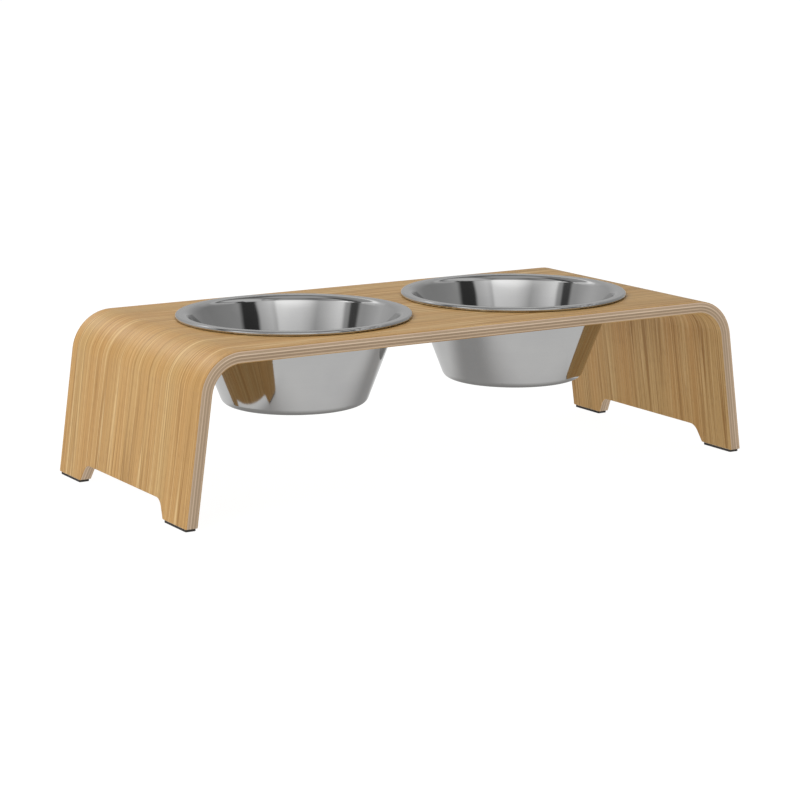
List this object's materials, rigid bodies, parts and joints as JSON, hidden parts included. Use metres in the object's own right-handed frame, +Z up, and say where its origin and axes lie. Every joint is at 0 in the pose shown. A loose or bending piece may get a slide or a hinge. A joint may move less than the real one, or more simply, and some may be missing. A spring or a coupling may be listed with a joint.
{
  "type": "elevated dog feeder",
  "caption": "Low bench of bent oak plywood with splayed, notched legs; round steel bowls hang in its top by their rims and lift out, so that a dog eats at a raised height.",
  "frame": {"origin": "on the floor, under the middle of the bench", "axes": "+X along the bench's length, +Y towards its back, +Z up"},
  "size_m": [0.5998, 0.26, 0.1557],
  "materials": {
    "oak_veneer": "clear matt lacquer",
    "light_core_veneer": "sanded and sealed",
    "dark_core_veneer": "sanded and sealed",
    "stainless_steel": "polished",
    "pad_rubber": "matt",
    "adhesive": "clear film"
  },
  "bodies": {
    "stand": {"outer_face_veneer": "oak_veneer", "core_ply_1": "light_core_veneer", "core_ply_2": "dark_core_veneer", "core_ply_3": "light_core_veneer", "core_ply_4": "dark_core_veneer", "core_ply_5": "light_core_veneer", "core_ply_6": "dark_core_veneer", "core_ply_7": "light_core_veneer", "inner_face_veneer": "oak_veneer", "front_left_foot_pad": "pad_rubber", "front_right_foot_pad": "pad_rubber", "back_left_foot_pad": "pad_rubber", "back_right_foot_pad": "pad_rubber", "front_left_pad_adhesive": "adhesive", "front_right_pad_adhesive": "adhesive", "back_left_pad_adhesive": "adhesive", "back_right_pad_adhesive": "adhesive"},
    "left_bowl": {"left_bowl": "stainless_steel"},
    "right_bowl": {"right_bowl": "stainless_steel"}
  },
  "joints": [
    {"name": "left_bowl_lift", "type": "slide", "parent": "stand", "child": "left_bowl", "axis": [0, 0, 1], "range_m": [0, 0.1]},
    {"name": "right_bowl_lift", "type": "slide", "parent": "stand", "child": "right_bowl", "axis": [0, 0, 1], "range_m": [0, 0.1]}
  ]
}
